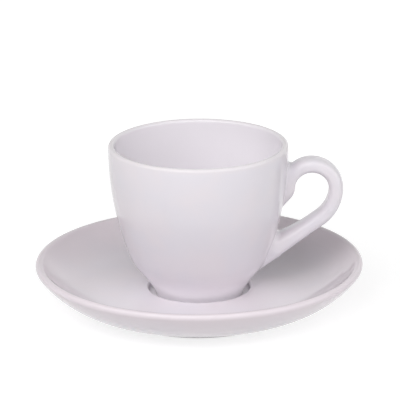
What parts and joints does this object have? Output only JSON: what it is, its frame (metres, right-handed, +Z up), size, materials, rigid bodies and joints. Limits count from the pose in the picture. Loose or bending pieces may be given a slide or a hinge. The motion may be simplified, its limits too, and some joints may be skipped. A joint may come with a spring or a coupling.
{
  "type": "espresso cup with saucer",
  "caption": "Plain white porcelain espresso cup with an ear-shaped handle, standing in the well of its round saucer; the cup lifts off the saucer.",
  "frame": {"origin": "on the common axis of cup and saucer, at the plane the saucer stands on", "axes": "+Z up along the axis of cup and saucer, +X towards the handle, -Y towards the viewer of the picture"},
  "size_m": [0.12, 0.12, 0.0626],
  "materials": {
    "saucer_glaze": "gloss",
    "cup_glaze": "gloss"
  },
  "bodies": {
    "saucer": {"saucer": "saucer_glaze"},
    "cup": {"cup_body": "cup_glaze", "cup_handle": "cup_glaze"}
  },
  "joints": [
    {"name": "cup_lift", "type": "slide", "parent": "saucer", "child": "cup", "axis": [0, 0, 1], "range_m": [0, 0.08]}
  ]
}
